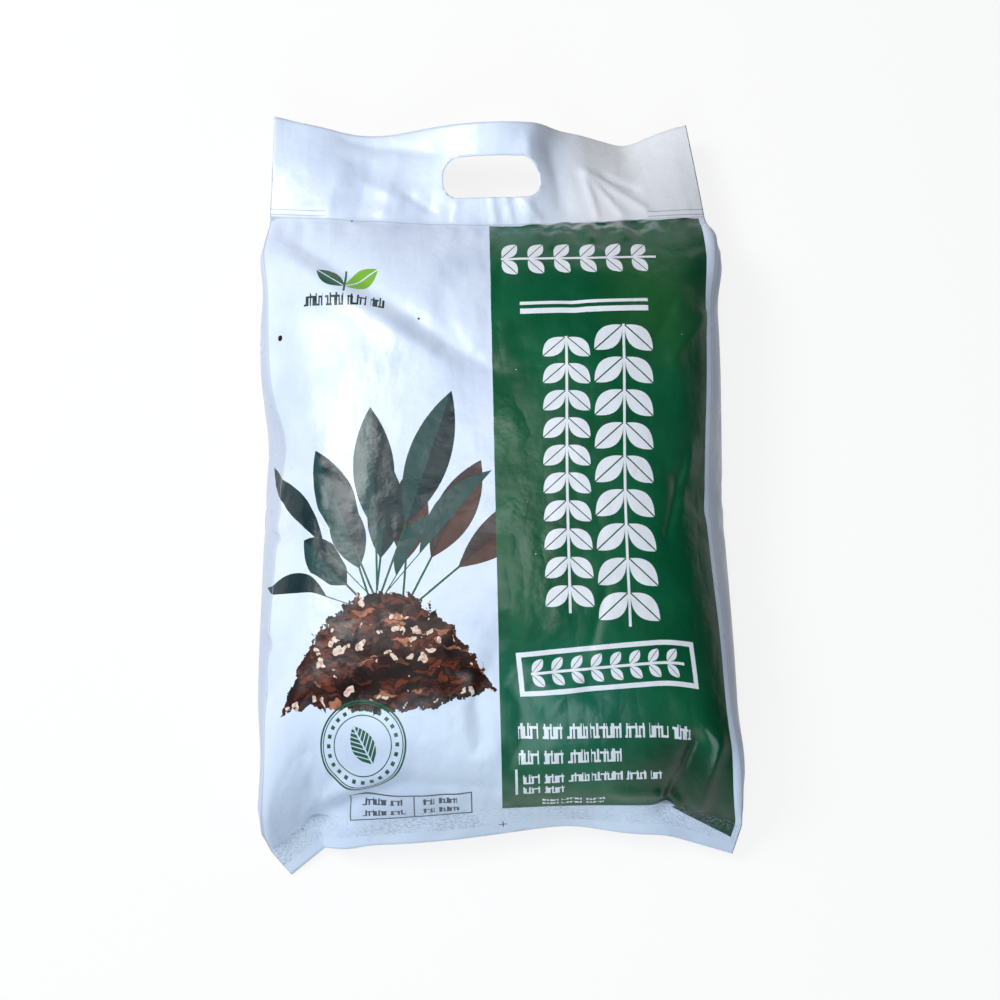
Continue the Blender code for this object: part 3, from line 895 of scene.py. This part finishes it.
def green_half(point, girth, along, colour):
    """The green field with a painted reflection, painted sheen and painted shade on it, and the
    white ornaments on it.
    """
    edge_drop = ((girth - 104.0) | 0.0) * 0.22
    field = girth.between(1.5, 153) * (along + edge_drop > 22.8)
    field = field * (along + (noise(point, 0.05, 1.0) - 0.5) * 6 < 430)
    shade = levels(noise(point, 0.018, 3.0), 0.35, 0.65, 0.0, 1.0)
    green = painted(GREEN, GREEN_LIGHT, shade * 0.5)
    # Painted reflection: a soft olive patch in the upper right of the green.
    green = painted(green, GREEN_PAINTED_REFLECTION, levels(distance(point, (120, 356)), 12.0, 62.0, 0.5, 0.0))
    # Painted sheen: a soft teal patch in the lower left of the green.
    green = painted(green, GREEN_PAINTED_SHEEN, levels(distance(point, (46, 90)), 8.0, 74.0, 0.42, 0.0))
    # Painted shade: the green darkens towards its right edge and in its lower right corner.
    corner = levels(distance(point, (124, 38)), 14.0, 48.0, 0.85, 0.0)
    green = painted(green, GREEN_PAINTED_SHADE, levels(girth, 118, 150, 0.0, 0.7) | corner)
    colour = painted(colour, green, field)
    pucker = levels(noise(point, 0.08, 2.0, 0.5, (1.0, 1.8, 1.0)), 0.44, 0.66, 0.0, 0.36)
    pucker = pucker * levels(abs(girth - 80), 24.0, 60.0, 1.0, 0.2)
    colour = painted(colour, PRINT_WHITE, pucker * field * levels(along, 412, 427, 0.0, 1.0))
    white = sprig(point, (9, 394), 0, 108, 6, 15.5, 5.0)
    white = white | sprig(point, (90, 341), -91, 203, 9, 26, 7.6)
    white = white | sprig(point, (51, 333), -91, 186, 10, 20, 6.0)
    white = white | girth.between(21, 108) * (along.near(358.5, 1.2) | along.near(352.5, 2.0))
    frame_along, frame_across = placed(point, (13.6, 107.7), 4.6)
    rim = abs(frame_along - 58.5) - 58.5
    rim = rim | (abs(frame_across) - 14.6)
    white = white | rim.near(-1.6, 1.6)
    white = white | sprig(point, (22, 108.4), 4.6, 100, 8, 11, 3.2)
    text = ((12, 125, 68, 77), (12, 78, 53.5, 61.5), (15, 104, 42, 47.5), (15, 42, 35, 40))
    white = white | words(girth, along, text, 1.0)
    white = white | girth.near(10.8, 0.8) * along.between(34, 51)
    fine = ((27, 70, 28.4, 30.0), (27, 66, 25.6, 27.0))
    white = white | words(girth, along, fine, 4.0)
    return painted(colour, PRINT_WHITE, white)


def mound(point, girth, along, colour):
    """A heap of compost: dark chips of bark with white grains between them."""
    share = (girth + 72) / 72
    rough = noise(point, 0.16, 3.0, 0.6)
    top = (1.0 - share * share) * 70 + rough * 24 + 84
    inside = (along < top) * (along + rough * 16 - share * share * 10 > 98)
    swirl = Field.node("TexNoise", {}, {"Vector": point, "Scale": 0.12, "Detail": 2.0}, output=1)
    bending = {0: swirl, 1: (14.0, 14.0, 0.0), 2: point}
    bent = Field.node("VectorMath", {"operation": "MULTIPLY_ADD"}, bending)
    chip_frame = {"Vector": bent, "Rotation": (0.0, 0.0, 0.7), "Scale": (0.5, 1.3, 1.0)}
    bark = Field.node("Mapping", {}, chip_frame)
    tone = Field.node("SeparateXYZ", {}, {0: cells(bark, 0.19, output=1)})
    soil = painted(SOIL_DARK, SOIL_RED, tone.math("POWER", 1.6))
    soil = painted(soil, BARK_LIGHT, tone > 0.9)
    gap = cells(bark, 0.19, "DISTANCE_TO_EDGE")
    soil = painted(soil, BLACK, levels(gap, 0.0, 0.16, 0.85, 0.0))
    soil = painted(soil, BLACK, levels(noise(point, 0.07, 3.0, 0.6), 0.46, 0.66, 0.0, 0.8))
    grain = cells(bent, 0.14)
    white = grain < levels(noise(point, 0.05, 2.0), 0.38, 0.66, 0.08, 0.42)
    stained = painted(PERLITE, BARK_LIGHT, levels(noise(point, 0.4), 0.4, 0.7, 0.0, 0.8))
    soil = painted(soil, stained, white)
    return painted(colour, soil, inside)


def picture(point, girth, along, colour):
    """Three leafy plants that stand in the heap of compost."""
    plants = (((-60, 150), 62, 112, 3, 36, 13.0, LEAF_RED, LEAF_SHADE),
              ((-78, 152), 110, 84, 4, 52, 12.0, LEAF_DARK, LEAF_LIGHT),
              ((-76, 158), 92, 128, 4, 44, 14.0, LEAF_DARK, LEAF_LIGHT))
    for origin, turn, reach, sectors, spread, half_width, dark, light in plants:
        blade, stalk, half = fan(point, origin, turn, reach, sectors, spread, half_width)
        colour = painted(colour, LINE_GREEN, stalk)
        colour = painted(colour, painted(dark, light, half), blade)
    return mound(point, girth, along, colour)


def badge(point, colour):
    """A round seal: two rings, a ring of dots between them and a leaf inside."""
    middle = (-86.5, 69.5)
    radius = distance(point, middle)
    rings = radius.near(27.6, 0.6) | radius.near(26.0, 0.35) | radius.near(18.6, 0.35)
    along, across = placed(point, middle, 60)
    turn = along.math("ARCTAN2", across).wrapped(-math.pi / 24, math.pi / 24)
    dots = radius.near(22.3, 1.2) * (abs(turn) < 0.055)
    inner_along, inner_across = placed(point, (-79.5, 57), 118)
    blade = leaf(inner_along, inner_across, 28, 7.5) * (abs(inner_across) > 0.5)
    veins = (inner_along - abs(inner_across)).wrapped(0.0, 3.6) > 0.9
    return painted(colour, LINE_GREEN, rings | dots | blade * veins)


def small_print(point, girth, along, colour):
    """The mark at the top left and the panel at the bottom left."""
    left_along, left_across = placed(point, (-98.5, 371), 148)
    right_along, right_across = placed(point, (-98.5, 371), 32)
    leaves = leaf(left_along, left_across, 24, 6.5) * (abs(left_across) > 0.45)
    fresh = leaf(right_along, right_across, 27, 7.0) * (abs(right_across) > 0.45)
    stem = girth.near(-98.5, 0.7) * along.between(366, 386)
    colour = painted(colour, LINE_GREEN, leaves | stem)
    colour = painted(colour, FRESH_GREEN, fresh)
    title = words(girth, along, ((-127, -71, 355.5, 364.5),), 2.4)
    colour = painted(colour, TITLE_GREY, title)
    reach = abs(girth + 57) - 39.5
    rim = reach | (abs(along - 28.5) - 8.0)
    lines = rim.near(-0.4, 0.4) | girth.near(-54.5, 0.4) * along.between(21, 36)
    text = ((-88, -62, 30, 34), (-88, -60, 23.4, 27.2), (-49, -27, 30, 34), (-49, -25, 23.4, 27.2))
    return painted(colour, TEXT_GREY, lines | words(girth, along, text, 0.4))


def welds(point, girth, along, colour):
    """The pressed bottom weld, a little grey in places, the weld lines, and painted shade along the
    side folds and at the top weld.
    """
    band = levels(along, 7.5, 9.0, 0.0, 1.0) * levels(along, 23.0, 24.5, 1.0, 0.0)
    speck = levels(noise(point, 0.62, 3.0, 0.75, (0.6, 1.3, 1.0)), 0.42, 0.66, 0.0, 1.0)
    drift = levels(noise(point, 0.03, 2.0), 0.40, 0.62, 0.0, 1.0)
    colour = painted(colour, WELD_GREY, band * speck * (drift * 0.5 + 0.15))
    side = abs(girth) > 116
    line = (along.near(432.5, 0.35) | along.near(436.0, 0.35)) * side
    colour = painted(colour, LINE_GREY, line * 0.8)
    # Painted shade: a thin dark line along each side fold and one at the top weld.
    fold = abs(abs(girth) - 158.5).near(0.0, 0.5) * along.between(26, 428)
    edge = along.near(430.4, 0.5) * 0.45 | fold * 0.5
    return painted(colour, FOLD_PAINTED_SHADE, edge), band


def marks(point, girth, along, colour):
    """A vent hole, two dots of ink, a register cross and pale grit in the green."""
    vent = distance(point, (-146, 337)) < 1.9
    dots = (distance(point, (-97, 430)) < 0.8) | (distance(point, (-47.5, 349)) < 0.8)
    cross = girth.near(2.0, 0.3) * along.near(8.3, 2.6)
    cross = cross | girth.near(2.0, 2.6) * along.near(8.3, 0.3)
    grit = cells(point, 0.05)
    colour = painted(colour, PRINT_WHITE, (grit < 0.018) * girth.between(4, 146))
    return painted(colour, MARK_BLACK, vent | dots | cross)


# %% Build the film's material
FILM_SHINE = 0.4


def film_material():
    """Printed polyethylene film."""
    material = bpy.data.materials.new("printed_film")
    material.use_nodes = True
    Field.tree = material.node_tree
    surface = material.node_tree.nodes["Principled BSDF"]
    surface.inputs["Specular IOR Level"].default_value = FILM_SHINE
    flat = Field.node("UVMap", {"uv_map": "film"}, {})
    point = Field.node("VectorMath", {"operation": "SCALE"}, {0: flat, "Scale": 1 / MM})
    girth, along = placed(point, (0.0, 0.0))
    cloud = noise(point, 0.012, 3.0, 0.55)
    colour = painted(FILM_WHITE, FILM_SHADE, levels(cloud, 0.42, 0.66, 0.0, 0.55))
    colour = painted(colour, HEADER_WHITE, levels(girth, 16.0, 90.0, 0.0, 0.8) * (along > 430.0))
    # Painted shade: the gussets are made greyer than the front.
    in_gusset = levels(abs(girth), 156.0, 162.0, 0.0, 0.8) * along.between(24, 430)
    colour = painted(colour, GUSSET_SHADE, in_gusset)
    colour = picture(point, girth, along, colour)
    colour = badge(point, colour)
    colour = small_print(point, girth, along, colour)
    colour = green_half(point, girth, along, colour)
    colour = marks(point, girth, along, colour)
    colour, band = welds(point, girth, along, colour)
    material.node_tree.links.new(colour.socket, surface.inputs["Base Color"])
    sheen = levels(noise(point, 0.02, 3.0, 0.6), 0.35, 0.65, 0.25, 0.38)
    material.node_tree.links.new((sheen + band * 0.12).socket, surface.inputs["Roughness"])
    # Dents and a fine grain, then two sets of soft ridges.
    crinkle = noise(point, 0.05, 3.0, 0.5) * 0.9 + noise(point, 0.22, 2.0, 0.5) * 0.08
    crinkle = crinkle + abs(noise(point, 0.020, 2.0, 0.4) - 0.5) * 2.4
    crinkle = crinkle + abs(noise(point, 0.035, 1.0, 0.5, (1.6, 0.5, 1.0)) - 0.52) * 0.9
    knurl = (girth * 2.1).sine() * (along * 2.1).sine() * 0.09 * band
    bump = Field.node("Bump", {}, {"Strength": 1.0, "Distance": MM, "Height": crinkle + knurl})
    material.node_tree.links.new(bump.socket, surface.inputs["Normal"])
    print("film material:", len(material.node_tree.nodes), "nodes")
    return material


bag.data.materials.append(film_material())

# %% [markdown]
# ## The camera
# The photograph looks down on the bag from above its foot, so the camera stands a little
# towards the bottom weld and is tilted by the same angle.

# %% Camera and lens
SENSOR_WIDTH = 36
FOCAL_SHARE = 1.5
CAMERA_TILT = math.radians(9.3)
CAMERA_DISTANCE = 0.98
LOOK_HEIGHT = 45 * MM
LOOK_AT = film_shift + Vector((0, 0, LOOK_HEIGHT))

lens = bpy.data.cameras.new("camera")
lens.sensor_width = SENSOR_WIDTH
lens.lens = SENSOR_WIDTH * FOCAL_SHARE
camera = bpy.data.objects.new("camera", lens)
bpy.context.scene.collection.objects.link(camera)
bpy.context.scene.camera = camera
back_to_camera = Vector((0, -math.sin(CAMERA_TILT), math.cos(CAMERA_TILT)))
camera.location = LOOK_AT + CAMERA_DISTANCE * back_to_camera
camera.rotation_euler = (CAMERA_TILT, 0, 0)


# %% Lamps and the room's light
FILL_TINT = (0.78, 0.94, 1.0)
ROOM_TINT = (0.92, 0.97, 1.0, 1.0)
ROOM_STRENGTH = 0.034


def lamp(name, place, size, power, colour=(1.0, 1.0, 1.0)):
    """A soft square lamp that looks at the bag."""
    light = bpy.data.lights.new(name, "AREA")
    light.size = size
    light.energy = power
    light.color = colour
    holder = bpy.data.objects.new(name, light)
    bpy.context.scene.collection.objects.link(holder)
    holder.location = place
    holder.rotation_euler = (LOOK_AT - Vector(place)).to_track_quat("-Z", "Y").to_euler()


lamp("window", (-0.95, 0.45, 1.25), 0.7, 20.5)
lamp("sky", (-0.05, 0.15, 1.75), 0.6, 6)
lamp("fill", (-0.2, -1.4, 1.2), 1.0, 13, FILL_TINT)
world = bpy.data.worlds.new("studio")
world.use_nodes = True
background = world.node_tree.nodes["Background"]
background.inputs["Color"].default_value = ROOM_TINT
background.inputs["Strength"].default_value = ROOM_STRENGTH
bpy.context.scene.world = world
bpy.context.scene.view_settings.view_transform = "Standard"

# %% A pale floor that shows white and keeps the shadow, with a low wall far off
FLOOR_SIZE = 28.0
WALL_HEIGHT = 2.2
WALL_SIDES = 96
FLOOR_GLOW = 0.85
PAPER_COLOUR = (0.85, 0.85, 0.86, 1.0)
GLOW_COLOUR = (1.0, 1.0, 1.0, 1.0)


def floor_material():
    """White paper that the camera sees near white."""
    material = bpy.data.materials.new("floor")
    material.use_nodes = True
    Field.tree = material.node_tree
    nodes = material.node_tree.nodes
    nodes.remove(nodes["Principled BSDF"])
    path = Field.node("LightPath", {}, {})
    rays = path.socket.node.outputs
    seen = path | Field(rays["Is Glossy Ray"]) | Field(rays["Is Transmission Ray"])
    paper = Field.node("BsdfDiffuse", {}, {"Color": PAPER_COLOUR})
    glow = Field.node("Emission", {}, {"Color": GLOW_COLOUR, "Strength": 1.0})
    both = Field.node("MixShader", {}, {0: seen * FLOOR_GLOW, 1: paper, 2: glow})
    material.node_tree.links.new(both.socket, nodes["Material Output"].inputs["Surface"])
    return material


paper = floor_material()
bpy.ops.mesh.primitive_plane_add(size=FLOOR_SIZE)
floor = bpy.context.object
floor.name = "floor"
floor.data.materials.append(paper)
bpy.ops.mesh.primitive_cylinder_add(vertices=WALL_SIDES, radius=FLOOR_SIZE / 2, depth=WALL_HEIGHT,
                                    end_fill_type="NOTHING", location=(0, 0, WALL_HEIGHT / 2))
wall = bpy.context.object
wall.name = "wall"
wall.data.materials.append(paper)

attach(bag, "root")
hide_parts("compost_bag")
